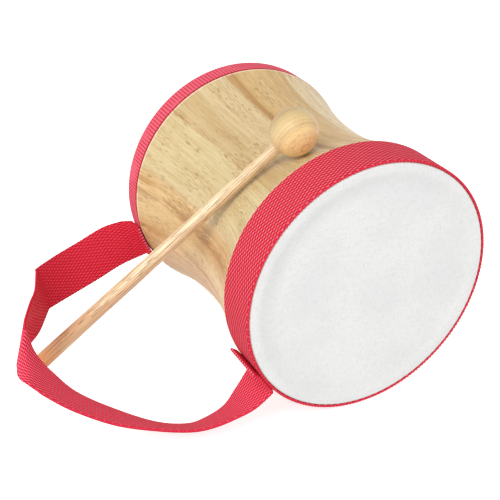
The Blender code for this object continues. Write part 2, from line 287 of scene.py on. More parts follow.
def wood_grain_group():
    tree, given, out = new_group(
        "wood_grain", {"Chart": "NodeSocketVector", "Pore Share": "NodeSocketFloat",
                       "Stretch": "NodeSocketFloat"},
        {"Streak": "NodeSocketFloat", "Fibre": "NodeSocketFloat", "Pores": "NodeSocketFloat",
         "Figure": "NodeSocketFloat", "Cloud": "NodeSocketFloat", "Height": "NodeSocketFloat"})
    sway = add(tree, "ShaderNodeVectorMath", {"operation": "MULTIPLY"}, i0=given["Chart"],
               i1=(1 / 55, 1 / 26, 1.0)).outputs[0]
    sway = add(tree, "ShaderNodeTexNoise", Vector=sway, Scale=1.0, Detail=1.0).outputs[0]
    sway = calc(tree, "SUBTRACT", sway, 0.5)
    parts = add(tree, "ShaderNodeSeparateXYZ", Vector=given["Chart"]).outputs
    run = calc(tree, "DIVIDE", parts[0], given["Stretch"])
    bent, wavy = (add(tree, "ShaderNodeCombineXYZ", X=run, Z=parts[2],
                      Y=calc(tree, "ADD", parts[1], calc(tree, "MULTIPLY", sway, reach))).outputs[0]
                  for reach in (2.2, 6.0))
    streak = stretched_noise(tree, bent, 70.0, 2.6, 3.0, 2.7)
    fibre = stretched_noise(tree, bent, 26.0, 0.55, 2.0, 7.1)
    dashes = stretched_noise(tree, bent, 5.2, 0.38, 0.0, 11.9)
    crowd = stretched_noise(tree, bent, 30.0, 7.0, 1.0, 5.3)
    start = calc(tree, "SUBTRACT", 0.74, calc(tree, "MULTIPLY", given["Pore Share"],
                                              ease(tree, crowd, 0.32, 0.66)))
    pores = add(tree, "ShaderNodeMapRange", {"interpolation_type": "SMOOTHSTEP"}, Value=dashes,
                From_Min=start, From_Max=calc(tree, "ADD", start, 0.07)).outputs["Result"]
    figure = stretched_noise(tree, wavy, 42.0, 3.2, 4.0, 17.3)
    cloud = stretched_noise(tree, bent, 26.0, 11.0, 2.0, 23.1)
    height = calc(tree, "SUBTRACT", calc(tree, "MULTIPLY", fibre, 0.35), pores)
    for name, value in (("Streak", streak), ("Fibre", fibre), ("Pores", pores),
                        ("Figure", figure), ("Cloud", cloud), ("Height", height)):
        tree.links.new(value, out[name])
    return tree


wood_grain = wood_grain_group()
print("group made:", wood_grain.name)

# %% [markdown]
# ## The shell
# The shell was glued up from twelve staves and then turned, so its outside is one smooth waisted
# surface that changes tone at each glue joint. Each stave here is its own solid: the waist curve,
# swept through its twelfth of the circle. The radius grows with a power of the distance from the
# waist. The bands lie in steps cut into the wood's ends, so the wood stands flush with them. Beside
# each band a pale line is painted along the wood's small eased edge, as a painted highlight.

# %% The shell's curve
WAIST, POWER, STAVE_WALL = 0.0605, 2.1, 0.009
FRONT_EDGE = -(HALF - FRONT_BAND - 0.00003)
REAR_EDGE = HALF - REAR_BAND - 0.00003
SHOULDER = RADIUS - 0.0001
SEAT = RADIUS - WEBBING - 0.0017
RIM_END = HALF - 0.0018
EASE = 0.0004
STAVES = 12
FIRST_JOINT = math.radians(9.2)


def shell_curve(y):
    """r(y) = waist + (shoulder - waist) |y / edge| ^ power, with its edge eased by a quarter circle."""
    edge = np.where(y > 0, REAR_EDGE, -FRONT_EDGE)
    radius = WAIST + (SHOULDER - WAIST) * np.abs(y / edge) ** POWER
    inside = np.clip((np.abs(y) - (edge - EASE)) / EASE, 0, 1)
    return radius - EASE * (1 - np.sqrt(1 - inside ** 2 * 0.98))


def stave_section():
    """Outside and inside (radius, y) of a stave, from its rear end to its front end."""
    swell = np.linspace(-1, 1, 121)
    swell = np.sign(swell) * (1 - (1 - np.abs(swell)) ** 1.35)
    y = np.where(swell > 0, swell * -FRONT_EDGE, swell * REAR_EDGE)
    body = np.stack([shell_curve(-y), -y], axis=-1)
    rear = np.array([[SEAT - 0.0025, RIM_END], [SEAT - 0.0008, RIM_END - 0.0008],
                     [SEAT, RIM_END - 0.0025], [SEAT, REAR_EDGE]])
    front = rear[::-1] * [1, -1]
    front[0, 1] = FRONT_EDGE
    outside = np.concatenate([rear, body, front])
    inside = outside.copy()
    inside[:, 0] = np.minimum(SEAT, np.interp(outside[:, 1], -y[::-1], body[::-1, 0])) - STAVE_WALL
    return outside, inside


stave_outside, stave_inside = stave_section()
print("section points:", len(stave_outside))

# %% [markdown]
# ## Tones of the staves
# No two staves match. From the top down the left side they go from tan, with one dark stripe
# beside the joint, to straw, to cream, to one with brown wavy heartwood, to a pinker tan. A tone
# is a colour at an angle, and the colours between are blended. The tones are kept as a colour on
# each point of the mesh, and the heartwood as a mask. The shader adds the grain.

# %% Tone table
TAN, STRAW, CREAM = screen(210, 175, 117), screen(213, 190, 145), screen(213, 194, 147)
BUFF, HONEY, WARM = screen(203, 177, 129), screen(220, 188, 132), screen(226, 194, 138)
PALE, IVORY = screen(228, 205, 162), screen(226, 202, 148)
STRIPE = screen(180, 138, 82)
# Pale cream for the painted highlight along the shell's eased ends.
EDGE_HIGHLIGHT = screen(250, 236, 205)
TONES = [
    [(0, STRAW), (15, STRAW), (17, BUFF), (30, BUFF)],
    [(0, CREAM), (30, CREAM)],
    [(0, STRAW), (3, HONEY), (15, HONEY), (19, IVORY), (24, IVORY), (30, HONEY)],
    [(0, HONEY), (2, WARM), (5, WARM), (9, TAN), (30, TAN)],
    [(0, STRAW), (30, TAN)],
    [(0, PALE), (15, CREAM), (30, STRAW)],
    [(0, TAN), (18, TAN), (30, STRAW)],
    [(0, CREAM), (30, BUFF)],
    [(0, STRAW), (10, HONEY), (30, CREAM)],
    [(0, BUFF), (30, PALE)],
    [(0, STRAW), (12, PALE), (30, PALE)],
    [(0, TAN), (26.0, TAN), (26.8, STRIPE), (29.8, STRIPE), (30, TAN)],
]
HEARTWOOD = {2: (9.0, 5.5), 3: (1.0, 2.5), 6: (20.0, 5.0), 9: (12.0, 4.0), 11: (28.4, 1.3)}


def blend_tones(table, degrees):
    """Colour at each angle, by straight blending between the table's angles."""
    angles = [angle for angle, _ in table]
    return np.stack([np.interp(degrees, angles, [tone[k] for _, tone in table]) for k in range(3)],
                    axis=-1)


def stave_colours(number, degrees, y):
    """Each point's tone with a painted highlight along the eased ends, and in the fourth channel how much
    heartwood figure it has.
    """
    tone = blend_tones(TONES[number], degrees)
    # Painted highlight along each eased end: full at the rear end, weaker at the front.
    edge = np.maximum(ease_edge(y, REAR_EDGE), 0.3 * ease_edge(y, FRONT_EDGE))[:, None]
    tone = tone * (1 - edge) + np.array(EDGE_HIGHLIGHT) * edge
    middle, width = HEARTWOOD.get(number, (0.0, 0.01))
    heart = np.exp(-((degrees - middle) / width) ** 2)
    return np.concatenate([tone, heart[:, None]], axis=-1)


def ease_edge(y, edge):
    """1 on the shell's eased edge, falling to 0 over the next millimetre inwards."""
    return np.clip(1.6 - np.abs(y - edge) / 0.0008, 0, 1)


# %% [markdown]
# ## Rubberwood finish
# The material starts from the tone on the mesh. Streaks and fibres lighten and darken it a
# little, pores are dark dashes, and the heartwood mask lets the wavy figure through. The lacquer
# is satin, so roughness stays near a half and the bump is very low.


# %% Shell material
def shell_material():
    material, tree, shader = new_material("rubberwood", roughness=0.42)
    chart = add(tree, "ShaderNodeUVMap", {"uv_map": "chart"}).outputs[0]
    tone = add(tree, "ShaderNodeAttribute", {"attribute_name": "tone"}).outputs
    share = calc(tree, "ADD", 0.17, calc(tree, "MULTIPLY", tone["Alpha"], 0.14))
    grain = place(tree, wood_grain, Chart=chart, Pore_Share=share, Stretch=1.0)
    colour = mix(tree, ease(tree, grain["Cloud"], 0.40, 0.62, 0.0, 0.16), tone["Color"],
                 screen(226, 206, 172), "MULTIPLY")
    colour = mix(tree, ease(tree, grain["Streak"], 0.48, 0.66, 0.0, 0.16), colour,
                 screen(214, 186, 146), "MULTIPLY")
    colour = mix(tree, ease(tree, grain["Streak"], 0.50, 0.34, 0.0, 0.14), colour,
                 screen(244, 228, 190))
    colour = mix(tree, ease(tree, grain["Fibre"], 0.45, 0.65, 0.0, 0.3), colour,
                 screen(206, 180, 140), "MULTIPLY")
    heart = calc(tree, "MULTIPLY", tone["Alpha"], ease(tree, grain["Figure"], 0.46, 0.56))
    colour = mix(tree, calc(tree, "MULTIPLY", heart, 0.9), colour, screen(180, 134, 78))
    colour = mix(tree, calc(tree, "MULTIPLY", grain["Pores"], 0.75), colour, screen(162, 122, 74))
    tree.links.new(colour, shader.inputs["Base Color"])
    bump = add(tree, "ShaderNodeBump", Height=grain["Height"], Strength=0.12, Distance=0.0002)
    tree.links.new(bump.outputs[0], shader.inputs["Normal"])
    tree.links.new(ease(tree, grain["Streak"], 0.2, 0.8, 0.38, 0.5), shader.inputs["Roughness"])
    shader.inputs["Specular IOR Level"].default_value = 0.35
    return material


rubberwood = shell_material()


# %% Make the staves
def make_stave(number):
    """Sweeps the section through a twelfth of a turn: P(a, k) = on_drum(a, r_k, y_k)."""
    sweep = math.tau / STAVES - 0.00003 / WAIST
    turn = FIRST_JOINT + math.tau * number / STAVES + np.linspace(0, sweep, 25)
    top, bottom = (on_drum(turn[:, None], side[:, 0], side[:, 1])
                   for side in (stave_outside, stave_inside))
    arc = (turn * 0.064 + 0.5 * number) * 1000
    chart = np.stack(np.broadcast_arrays(stave_outside[:, 1] * 1000, arc[:, None]), axis=-1)
    obj = slab(f"wood_stave_{number + 1:02d}", top, bottom, chart, sharp=35)
    mesh = obj.data
    points = np.empty(len(mesh.vertices) * 3, dtype=np.float32)
    mesh.vertices.foreach_get("co", points)
    points = points.reshape(-1, 3).astype(float)
    angle = np.arctan2(AXIS_X - points[:, 0], points[:, 2] - AXIS_Z)
    degrees = np.degrees((angle - turn[0] + 0.1) % math.tau - 0.1)
    colours = stave_colours(number, degrees, points[:, 1] - MIDDLE_Y)
    layer = mesh.attributes.new("tone", "FLOAT_COLOR", "POINT")
    layer.data.foreach_set("color", colours.astype(np.float32).ravel())
    dress(obj, "drum", "stave_wood", rubberwood, rubberwood)
    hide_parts(f"stave_{number + 1:02d}")
    return obj


staves = [make_stave(number) for number in range(STAVES)]
print("staves:", len(staves), "faces each:", len(staves[0].data.polygons))

# %% [markdown]
# ## Webbing as a group
# Webbing is a heavy flat weave. Thick yarns run along it in rows a millimetre apart. Each yarn
# floats over two cross yarns and dips under the next, and its neighbours do the same half a step
# later. So the surface is a staggered pattern of raised floats with dark slots between them. The
# group works it out from the piece's own flat chart: a row number, a phase along the row that
# shifts by a half from row to row, and two soft masks.


# %% Webbing group
def webbing_group():
    tree, given, out = new_group(
        "webbing_weave", {"Chart": "NodeSocketVector", "Float Pitch": "NodeSocketFloat",
                          "Row Pitch": "NodeSocketFloat", "Slot Share": "NodeSocketFloat",
                          "Half Width": "NodeSocketFloat"},
        {"Height": "NodeSocketFloat", "Slot": "NodeSocketFloat", "Float": "NodeSocketFloat",
         "Rib": "NodeSocketFloat", "Fuzz": "NodeSocketFloat", "Selvedge": "NodeSocketFloat"})
    parts = add(tree, "ShaderNodeSeparateXYZ", Vector=given["Chart"]).outputs
    fuzz = add(tree, "ShaderNodeTexNoise", Vector=given["Chart"], Scale=1.6, Detail=2.0).outputs[0]
    row_at = calc(tree, "DIVIDE", parts[1], given["Row Pitch"])
    row = calc(tree, "FLOOR", row_at)
    run = calc(tree, "ADD", calc(tree, "DIVIDE", parts[0], given["Float Pitch"]),
               calc(tree, "MULTIPLY", row, 0.5))
    run = calc(tree, "ADD", run, calc(tree, "MULTIPLY", calc(tree, "SUBTRACT", fuzz, 0.5), 0.10))
    off = calc(tree, "ABSOLUTE", calc(tree, "SUBTRACT", calc(tree, "FRACT", run), 0.5))
    side = calc(tree, "ABSOLUTE", calc(tree, "SUBTRACT", calc(tree, "FRACT", row_at), 0.5))
    slot_from = calc(tree, "SUBTRACT", 0.5, calc(tree, "MULTIPLY", given["Slot Share"], 0.5))
    slot = add(tree, "ShaderNodeMapRange", {"interpolation_type": "SMOOTHSTEP"}, Value=off,
               From_Min=calc(tree, "SUBTRACT", slot_from, 0.04),
               From_Max=calc(tree, "ADD", slot_from, 0.05)).outputs["Result"]
    slot = calc(tree, "MULTIPLY", slot, ease(tree, side, 0.47, 0.36))
    inset = calc(tree, "SUBTRACT", given["Half Width"], calc(tree, "ABSOLUTE", parts[1]))
    inner = ease(tree, inset, 0.3, 0.6)
    slot = calc(tree, "MULTIPLY", slot, inner)
    along = ease(tree, off, 0.34, 0.05)
    raised = calc(tree, "MULTIPLY", along, ease(tree, side, 0.5, 0.1, 0.25, 1.0))
    raised = calc(tree, "MULTIPLY", raised, inner)
    rib = calc(tree, "MULTIPLY", parts[0], calc(tree, "DIVIDE", 4 * math.pi, given["Float Pitch"]))
    rib = calc(tree, "ADD", calc(tree, "MULTIPLY", calc(tree, "COSINE", rib), 0.5), 0.5)
    height = calc(tree, "ADD", calc(tree, "MULTIPLY", raised, 0.7), calc(tree, "MULTIPLY", rib, 0.2))
    height = calc(tree, "SUBTRACT", height, calc(tree, "MULTIPLY", slot, 0.8))
    height = calc(tree, "ADD", height, calc(tree, "MULTIPLY", fuzz, 0.25))
    for name, value in (("Height", height), ("Slot", slot), ("Float", raised), ("Rib", rib),
                        ("Fuzz", fuzz), ("Selvedge", calc(tree, "SUBTRACT", 1.0, inner))):
        tree.links.new(value, out[name])
    return tree


webbing_weave = webbing_group()
print("group made:", webbing_weave.name)

# %% [markdown]
# ## Red webbing finishes
# One dye, but it reads differently by place. The wide front band is a clear red; its slots are
# darkened as painted shade and its floats lightened as a painted highlight. The strap's outer face
# is a lighter, pinker copy of the red, painted light where light grazes it, and its inner face is a
# deeper red with bright floats, also a painted highlight. The narrow rear band shows mostly its
# cross ribs.


# %% Webbing materials
def webbing_material(name, body, dark, highlight_tint, slot, highlight_share, selvedge):
    material, tree, shader = new_material(name, roughness=0.72)
    chart = add(tree, "ShaderNodeUVMap", {"uv_map": "chart"}).outputs[0]
    weave = place(tree, webbing_weave, Chart=chart, Float_Pitch=4.12, Row_Pitch=0.94,
                  Slot_Share=0.35, Half_Width=12.5)
    colour = mix(tree, ease(tree, weave["Fuzz"], 0.25, 0.75, 0.0, 0.25), body, dark)
    # Painted highlight: the raised floats, and more faintly the cross ribs' crests, are lightened.
    colour = mix(tree, calc(tree, "MULTIPLY", weave["Float"], highlight_share), colour, highlight_tint)
    colour = mix(tree, calc(tree, "MULTIPLY", weave["Rib"], highlight_share * 0.35), colour, highlight_tint)
    # Painted shade: the slots between the floats are darkened.
    colour = mix(tree, calc(tree, "MULTIPLY", weave["Slot"], slot), colour, dark)
    colour = mix(tree, calc(tree, "MULTIPLY", weave["Selvedge"], selvedge), colour, dark)
    tree.links.new(colour, shader.inputs["Base Color"])
    bump = add(tree, "ShaderNodeBump", Height=weave["Height"], Strength=0.7, Distance=0.0004)
    tree.links.new(bump.outputs[0], shader.inputs["Normal"])
    shader.inputs["Specular IOR Level"].default_value = 0.06
    return material


red_front = webbing_material("red_webbing_front", screen(222, 34, 58), screen(158, 14, 36),
                             screen(255, 142, 156), slot=0.85, highlight_share=0.55, selvedge=0.0)
# The strap's outer face: a lighter, pinker copy of the same red, painted light where light grazes it.
red_strap_lit = webbing_material("red_webbing_strap_lit", screen(247, 52, 82), screen(178, 20, 48),
                             screen(255, 150, 168), slot=0.9, highlight_share=0.5, selvedge=0.4)
red_inner = webbing_material("red_webbing_inner", screen(232, 34, 60), screen(178, 14, 36),
                             screen(255, 112, 130), slot=0.5, highlight_share=0.4, selvedge=0.6)


# %% Rear band material
REAR_PITCH = 3.9


def ribbed_material():
    """Cross ribs only: brightness follows the rib as a painted highlight on its crest, over slow random
    tone, and the wood-side edge is darkened as painted shade.
    """
    material, tree, shader = new_material("red_webbing_rear", roughness=0.7)
    chart = add(tree, "ShaderNodeUVMap", {"uv_map": "chart"}).outputs[0]
    weave = place(tree, webbing_weave, Chart=chart, Float_Pitch=REAR_PITCH, Row_Pitch=0.94,
                  Slot_Share=0.2, Half_Width=6.25)
    side = add(tree, "ShaderNodeSeparateXYZ", Vector=chart).outputs[1]
    slow = add(tree, "ShaderNodeTexNoise", Vector=chart, Scale=0.06, Detail=1.0).outputs[0]
    # Painted highlight on the rib crests, mixed with slow random tone.
    ribs = calc(tree, "MAXIMUM", ease(tree, weave["Rib"], 0.0, 0.6), ease(tree, slow, 0.5, 0.66, 0.0, 0.8))
    colour = mix(tree, ribs, screen(200, 56, 78), screen(236, 106, 122))
    colour = mix(tree, ease(tree, weave["Fuzz"], 0.35, 0.75, 0.0, 0.25), colour, screen(202, 54, 78))
    # Painted shade: the red darkens towards the wood-side edge, where the band meets the wood.
    colour = mix(tree, ease(tree, side, -4.9, -5.6, 0.0, 0.85), colour, screen(166, 30, 50))
    tree.links.new(colour, shader.inputs["Base Color"])
    height = calc(tree, "ADD", weave["Rib"], calc(tree, "MULTIPLY", weave["Fuzz"], 0.3))
    bump = add(tree, "ShaderNodeBump", Height=height, Strength=0.6, Distance=0.0004)
    tree.links.new(bump.outputs[0], shader.inputs["Normal"])
    shader.inputs["Specular IOR Level"].default_value = 0.06
    return material


red_rear = ribbed_material()
print("webbing materials:", red_front.name, red_strap_lit.name, red_inner.name, red_rear.name)

# %% [markdown]
# ## The bands
# Each band is a ring of webbing round the rim. Its selvedges are rounded over and slightly
# scalloped by the cross yarns. The chart runs round the ring, and the number of floats is whole,
# so the weave has no seam.


# %% Cross section of webbing
def webbing_section(width, cols=27):
    """Places across the webbing and the half thickness there.

    The half thickness is flat, and falls as a quarter circle over the last half thickness.
    """
    half = WEBBING / 2
    across = np.sin(np.linspace(-math.pi / 2, math.pi / 2, cols)) * width / 2
    inset = np.clip((np.abs(across) - (width / 2 - half)) / half, 0, 1)
    return across, half * np.sqrt(1 - 0.97 * inset ** 2)


def make_band(name, node, middle_y, width, pitch, material):
    """A ring: centre line at the radius less half the webbing, offset out and in by h(v)."""
    across, half = webbing_section(width)
    length = math.tau * RADIUS * 1000
    floats = round(length / pitch)
    rows = floats * 8
    turn = math.pi + np.arange(rows + 1) * math.tau / rows
    run = np.arange(rows + 1) * floats * pitch / rows
    scallop = 1 + 0.02 * np.cos(np.arange(rows) * math.tau / 4)[:, None]
    y = middle_y + across * np.where(np.abs(across) > width * 0.45, scallop, 1.0)
    middle = RADIUS - WEBBING / 2
    top = on_drum(turn[:-1, None], middle + half, y)
    bottom = on_drum(turn[:-1, None], middle - half, y)
    chart = np.stack(np.broadcast_arrays(run[:, None], across * 1000), axis=-1)
    obj = slab(name, top, bottom, chart, wrap=True, sharp=60)
    dress(obj, "drum", "webbing", material, material)
    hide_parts(node)
    return obj


front_ring = make_band("webbing_front_band", "front_band", -HALF + FRONT_BAND / 2, FRONT_BAND, 4.12,
                       red_front)
rear_ring = make_band("webbing_rear_band", "rear_band", HALF - REAR_BAND / 2, REAR_BAND, REAR_PITCH,
                      red_rear)
print("band faces:", len(front_ring.data.polygons), len(rear_ring.data.polygons))

# %% [markdown]
# ## The heads
# The head is a thick white felt-like skin. It is drawn over the rim and tucked under the band, so
# only its flat face and a soft rounded edge show. A turned profile is right for it: a flat disc, a
# quarter round, and a skirt. The skin has some depth of its own, so the edge against the band is a
# thin dark line.


# %% Head material
def head_material():
    material, tree, shader = new_material("felt_head", screen(236, 236, 234), 0.85)
    place_on = add(tree, "ShaderNodeTexCoord").outputs["Object"]
    polar = add(tree, "ShaderNodeSeparateXYZ",
                Vector=add(tree, "ShaderNodeUVMap", {"uv_map": "chart"}).outputs[0]).outputs
    cloud = add(tree, "ShaderNodeTexNoise", Vector=place_on, Scale=38.0, Detail=3.0).outputs[0]
    felt = add(tree, "ShaderNodeTexNoise", Vector=place_on, Scale=1100.0, Detail=3.0).outputs[0]
    threads = [add(tree, "ShaderNodeTexNoise", Scale=1.0, Detail=2.0, Vector=add(
        tree, "ShaderNodeVectorMath", {"operation": "MULTIPLY"}, i0=place_on,
        i1=stretch).outputs[0]).outputs[0] for stretch in ((1100.0, 1.0, 300.0), (300.0, 1.0, 1100.0))]
    hairs = calc(tree, "MAXIMUM", *threads)
    colour = mix(tree, ease(tree, cloud, 0.35, 0.7), screen(240, 240, 238), screen(234, 235, 234))
    colour = mix(tree, ease(tree, hairs, 0.50, 0.72, 0.0, 0.4), colour, screen(216, 217, 217))
    # A soft grey ring just inside the rim is painted shade where the skin dips over the rim; it is
    # strongest on one side, where that slope turns from the light.
    painted_shade_ring = calc(tree, "MULTIPLY", ease(tree, polar[0], 51.0, 59.5), ease(tree, polar[0], 65.0, 61.5))
    shade_by_side = calc(tree, "ADD", calc(tree, "MULTIPLY", calc(tree, "COSINE", calc(tree, "SUBTRACT", polar[1],
               0.9)), 0.13), 0.14)
    colour = mix(tree, calc(tree, "MULTIPLY", painted_shade_ring, shade_by_side), colour, screen(208, 209, 210))
    tree.links.new(colour, shader.inputs["Base Color"])
    height = calc(tree, "ADD", felt, hairs)
    bump = add(tree, "ShaderNodeBump", Height=height, Strength=0.5, Distance=0.0003)
    tree.links.new(bump.outputs[0], shader.inputs["Normal"])
    shader.inputs["Sheen Weight"].default_value = 0.2
    shader.inputs["Specular IOR Level"].default_value = 0.2
    return material


felt_head = head_material()


# %% Make the heads
def head_profile(skirt, lift):
    """(radius, depth) of the skin's outer side, from its middle to the end of its skirt.

    The skin dips by half a millimetre inside the rim that it is drawn over, with a cosine slope.
    """
    outer, edge, dip = RADIUS - WEBBING - 0.0001, 0.0011, 0.0006
    flat = np.concatenate([np.linspace(0, outer - 0.013, 16), np.linspace(outer - 0.012, outer - edge, 24)])
    slope = np.clip((outer - 0.0035 - flat) / 0.0075, 0, 1)
    corner = np.linspace(0, math.pi / 2, 9)[1:]
    radius = np.concatenate([flat, outer - edge + edge * np.sin(corner), np.full(6, outer)])
    depth = np.concatenate([dip * (1 - np.cos(math.pi * slope)) / 2, edge * (1 - np.cos(corner)),
                            np.linspace(edge, skirt, 7)[1:]])
    return radius, depth + lift


def make_head(name, node, end, band):
    """Turns the profile round the axis; the inner side is the outer one moved in by the skin."""
    radius, depth = head_profile(band - 0.003, 0.0001)
    turn = np.arange(192) * math.tau / 192
    step = np.stack([np.gradient(radius), np.gradient(depth)])
    step *= SKIN / np.linalg.norm(step, axis=0)
    top = on_drum(turn[:, None], radius, end * (HALF - depth))
    bottom = on_drum(turn[:, None], np.maximum(radius - step[1], 0), end * (HALF - depth - step[0]))
    chart = np.stack(np.broadcast_arrays(radius * 1000, np.append(turn, math.tau)[:, None]), axis=-1)
    obj = slab(name, top, bottom, chart, wrap=True, sharp=50, merge=1e-6)
    dress(obj, "drum", "drum_skin", felt_head, felt_head)
    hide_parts(node)
    return obj


front_head = make_head("felt_front_head", "front_skin", -1, FRONT_BAND)
rear_head = make_head("felt_rear_head", "rear_skin", 1, REAR_BAND)
print("head faces:", len(front_head.data.polygons))

# %% [markdown]
# ## The strap
# The strap is one length of stiff webbing. Its rear end is lapped across the rear band, it turns
# out into a loop, rolls over at the far left, comes back near the table, folds at the front band
# and ends in a short tail turned up along it. We place knots along that way, each with the middle
# of the webbing and the direction across it, run a smooth curve through them, and step along it
# evenly. Across the webbing the surface is straight, except at the lap, where it hugs the band.

# %% The strap's knots
STRAP = 0.025
LAP_TURN, FOLD_TURN = 114.2, 128.0
LAP_RADIUS = RADIUS + 0.0006
FOLD_OUT = 0.0011
LAP_RISE, LAP_SKEW = 1.8, 0.14
TAIL_KNOTS = np.array([(-0.95, 1.8), (-0.8, 0.9), (0.1, 0.2), (2.0, 0.05), (6.0, 0.05), (10.0, 0.1),
                       (13.0, 0.4), (15.4, 1.3), (17.3, 2.5)])
REAR_RUN = [
    ((0.0008, 0.0008, 0.0283), (-0.36, 0.03, 0.93)),
    ((0.0032, 0.0024, 0.0273), (-0.32, 0.16, 0.94)),
    ((0.0070, 0.0032, 0.0266), (-0.30, 0.26, 0.94)),
    ((0.0170, 0.0042, 0.0249), (-0.26, 0.45, 0.88)),
    ((0.0320, 0.0025, 0.0209), (-0.27, 0.52, 0.83)),
    ((0.0475, -0.0023, 0.0182), (-0.26, 0.46, 0.86)),
    ((0.0639, -0.0122, 0.0178), (-0.14, 0.33, 0.93)),
    ((0.0662, -0.0162, 0.0185), (-0.09, 0.29, 0.95)),
    ((0.0767, -0.0430, 0.0235), (0.09, 0.21, 0.97)),
    ((0.0860, -0.0615, 0.0287), (0.22, 0.17, 0.96)),
    ((0.0944, -0.0805, 0.0345), (0.32, 0.17, 0.93)),
    ((0.0973, -0.0900, 0.0372), (0.31, 0.21, 0.92)),
]
FRONT_RUN = [
    ((0.1078, 0.0453, 0.0387), (0.31, 0.27, 0.84)),
    ((0.1075, 0.0426, 0.0404), (0.38, 0.47, 0.57)),
    ((0.1072, 0.0398, 0.0425), (0.42, 0.69, 0.25)),
    ((0.1055, 0.0367, 0.0432), (0.42, 0.84, 0.00)),
    ((0.1027, 0.0342, 0.0383), (0.39, 0.91, -0.10)),
    ((0.0995, 0.0320, 0.0337), (0.37, 0.92, -0.15)),
    ((0.0890, 0.0255, 0.0220), (0.30, 0.91, -0.28)),
    ((0.0720, 0.0165, 0.0113), (0.28, 0.89, -0.37)),
    ((0.0537, 0.0077, 0.0034), (0.23, 0.83, -0.50)),
    ((0.0389, 0.0020, 0.0009), (0.23, 0.82, -0.52)),
    ((0.0285, -0.0002, 0.0028), (0.22, 0.86, -0.47)),
    ((0.0184, -0.0012, 0.0072), (0.19, 0.90, -0.38)),
    ((0.0094, -0.0011, 0.0150), (0.07, 0.98, -0.19)),
]


def run_knots(run, end):
    """Middle = end + (-left, back, 0), at the lower edge's height plus half the width's rise."""
    step, across = (np.array(part) for part in zip(*run))
    middle = np.stack([end[0] - step[:, 0], end[1] + step[:, 1],
                       step[:, 2] + np.abs(across[:, 2]) * STRAP / 2], axis=-1)
    return middle, across


def strap_knots():
    """Middles, cross directions, and the cupping of the upper and the lower half, rear to front."""
    lap = np.radians(np.linspace(LAP_TURN - LAP_RISE, LAP_TURN, 6))
    lap_y = np.linspace(HALF - REAR_BAND - 0.0018, HALF + GAP, 6)
    rear = on_drum(lap, LAP_RADIUS + WEBBING / 2, lap_y)
    up_drum = np.stack([np.cos(lap), np.linspace(LAP_SKEW, 0, len(lap)), np.sin(lap)], axis=-1)
    tail_turn = math.radians(FOLD_TURN) - TAIL_KNOTS[:, 0] / 1000 / LAP_RADIUS
    tail_radius = LAP_RADIUS + TAIL_KNOTS[:, 1] / 1000
    tail = on_drum(tail_turn, tail_radius, -HALF + STRAP / 2)
    tail_across = np.tile([0.0, 1.0, 0.0], (len(tail), 1))
    fold = math.radians(FOLD_TURN) + (WEBBING / 2 + GAP) / LAP_RADIUS
    fold_end = on_drum(fold, LAP_RADIUS + FOLD_OUT, -HALF + STRAP / 2)
    back, back_across = run_knots(REAR_RUN, rear[-1])
    near, near_across = run_knots(FRONT_RUN, fold_end)
    middles = np.concatenate([rear, back, near, tail])
    crosses = np.concatenate([up_drum, back_across, near_across, tail_across])
    cup = np.zeros((len(middles), 2))
    cup[:len(rear) + 3, 0] = [1, 1, 1, 1, 1, 0.9, 0.75, 0.4, 0.15]
    cup[:len(rear) + 3, 1] = [1, 0.8, 0.5, 0, -0.7, -1.1, -1, -0.6, -0.2]
    return middles, crosses, cup / LAP_RADIUS


def smooth_run(knots, steps=40):
    """Catmull-Rom curve through the knots: each stretch is a cubic of its four nearest knots."""
    k = np.concatenate([knots[:1], knots, knots[-1:]])
    t = (np.arange(steps) / steps)[None, :, None]
    a, b, c, d = (k[n:len(k) - 3 + n, None, :] for n in range(4))
    curve = 0.5 * (2 * b + (c - a) * t + (2 * a - 5 * b + 4 * c - d) * t ** 2
                   + (3 * b - a - 3 * c + d) * t ** 3)
    return np.concatenate([curve.reshape(-1, knots.shape[1]), knots[-1:]])


# %% Make the strap
def make_strap():
    """P(s, v) = middle(s) + across(s) v + normal(s) cup(s) v^2 / 2, offset by the half thickness."""
    middles, crosses, cup = strap_knots()
    curve = smooth_run(np.concatenate([middles, crosses, cup], axis=1))
    length = np.concatenate([[0], np.cumsum(np.linalg.norm(np.diff(curve[:, :3], axis=0), axis=1))])
    even = np.arange(0, length[-1], 0.0005)
    curve = np.stack([np.interp(even, length, curve[:, k]) for k in range(8)], axis=-1)
    along = np.gradient(curve[:, :3], axis=0)
    normal = np.cross(along, curve[:, 3:6])
    normal /= np.linalg.norm(normal, axis=1)[:, None]
    across, half = webbing_section(STRAP, 31)
    scallop = 1 + 0.01 * np.cos(even * 1000 * math.tau / 2.06)[:, None]
    v = across * np.where(np.abs(across) > STRAP * 0.45, scallop, 1.0)
    bend = np.where(v > 0, curve[:, 6:7], curve[:, 7:8]) * v ** 2 / 2
    sheet = (curve[:, None, :3] + curve[:, None, 3:6] * v[..., None]
             + normal[:, None, :] * bend[..., None])
    over = np.gradient(sheet, axis=0)
    side = np.gradient(sheet, axis=1)
    face = np.cross(over, side)
    face /= np.linalg.norm(face, axis=-1)[..., None]
    top, bottom = sheet + face * half[None, :, None], sheet - face * half[None, :, None]
    chart = np.stack(np.broadcast_arrays(even[:, None] * 1000, across * 1000), axis=-1)
    obj = slab("webbing_strap", top, bottom, chart, sharp=70)
    return obj, even[-1]


strap, strap_length = make_strap()
dress(strap, None, "webbing", red_strap_lit, red_inner)
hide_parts("strap_loop", "strap_end_front", "strap_end_rear")
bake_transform(strap)
print(f"strap length {strap_length * 1000:.0f} mm, faces {len(strap.data.polygons)}")

# %% [markdown]
# ## The beater
# The beater is a tapered stick with a turned ball on its thin end. The stick's grain runs along
# it, with long streaks and short pores, and it is darker and warmer towards the butt. The ball was
# turned from a block, so the growth layers cut its surface in circles round one direction.

